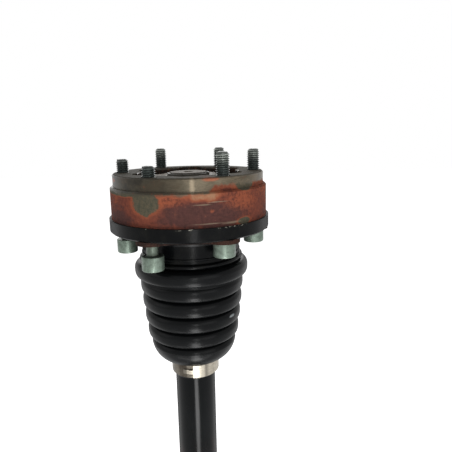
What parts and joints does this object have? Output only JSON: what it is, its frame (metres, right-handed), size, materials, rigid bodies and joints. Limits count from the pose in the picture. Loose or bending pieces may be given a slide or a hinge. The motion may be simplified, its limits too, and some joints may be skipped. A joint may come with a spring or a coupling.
{
  "type": "drive shaft",
  "caption": "Car drive shaft with a bolted plunging ball joint and rubber bellows at the gearbox end, and a fixed ball joint with a splined stub axle at the wheel end; used and rusty",
  "frame": {"origin": "Centre of the gearbox joint's bolting face, on the joint's axis, in the plane of the face", "axes": "+Z points out of the bolting face along the shaft's axis, away from the shaft; +X points at one of the six flange screws; +Y is the picture's far side"},
  "size_m": [0.103, 0.103, 0.5652],
  "materials": {
    "machined_steel": "machined steel with flash rust",
    "bearing_steel": "ground, greased",
    "spring_steel": "phosphated",
    "black_sheet": "satin black paint",
    "zinc_screw": "zinc plated, dull",
    "rusty_plate": "rusted steel",
    "boot_rubber": "soft gloss black",
    "clamp_steel": "stainless band",
    "painted_bar": "satin black paint"
  },
  "bodies": {
    "inner_joint": {"inner_joint_ring": "machined_steel", "boot_cap": "black_sheet", "flange_screws": "zinc_screw", "backing_plate_left": "rusty_plate", "backing_plate_right": "rusty_plate", "backing_plate_front": "rusty_plate"},
    "bellows": {"inner_boot": "boot_rubber"},
    "inner_cage": {"inner_joint_cage": "bearing_steel", "inner_joint_balls": "bearing_steel"},
    "drive_shaft": {"shaft_bar": "painted_bar", "inner_joint_race": "bearing_steel", "inner_race_circlip": "spring_steel", "inner_dished_washer": "spring_steel", "inner_boot_clamp": "clamp_steel", "outer_joint_race": "bearing_steel", "outer_race_circlip": "spring_steel", "outer_dished_washer": "spring_steel", "outer_thrust_ring": "spring_steel", "outer_boot": "boot_rubber", "outer_boot_small_clamp": "clamp_steel"},
    "outer_cage": {"outer_joint_cage": "bearing_steel", "outer_joint_balls": "bearing_steel"},
    "outer_joint": {"outer_joint_housing": "machined_steel", "outer_boot_large_clamp": "clamp_steel"}
  },
  "joints": [
    {"name": "inner_plunge", "type": "slide", "parent": "inner_joint", "child": "bellows", "axis": [0, 0, 1], "range_m": [-0.008, 0.008], "deforming": ["inner_boot"]},
    {"name": "inner_bend", "type": "hinge", "parent": "bellows", "child": "drive_shaft", "pos_m": [0, 0, -0.0157], "axis": [0, 1, 0], "range_deg": [-18, 18]},
    {"name": "inner_cage_tilt", "type": "hinge", "parent": "bellows", "child": "inner_cage", "pos_m": [0, 0, -0.0157], "axis": [0, 1, 0], "range_deg": [-9, 9]},
    {"name": "outer_bend", "type": "hinge", "parent": "drive_shaft", "child": "outer_joint", "pos_m": [0, 0, -0.4457], "axis": [1, 0, 0], "range_deg": [-40, 40], "deforming": ["outer_boot"]},
    {"name": "outer_cage_tilt", "type": "hinge", "parent": "drive_shaft", "child": "outer_cage", "pos_m": [0, 0, -0.4457], "axis": [1, 0, 0], "range_deg": [-20, 20]}
  ],
  "couplings": [
    {"joint": "inner_cage_tilt", "follows": "inner_bend", "ratio": 0.5},
    {"joint": "outer_cage_tilt", "follows": "outer_bend", "ratio": 0.5}
  ]
}
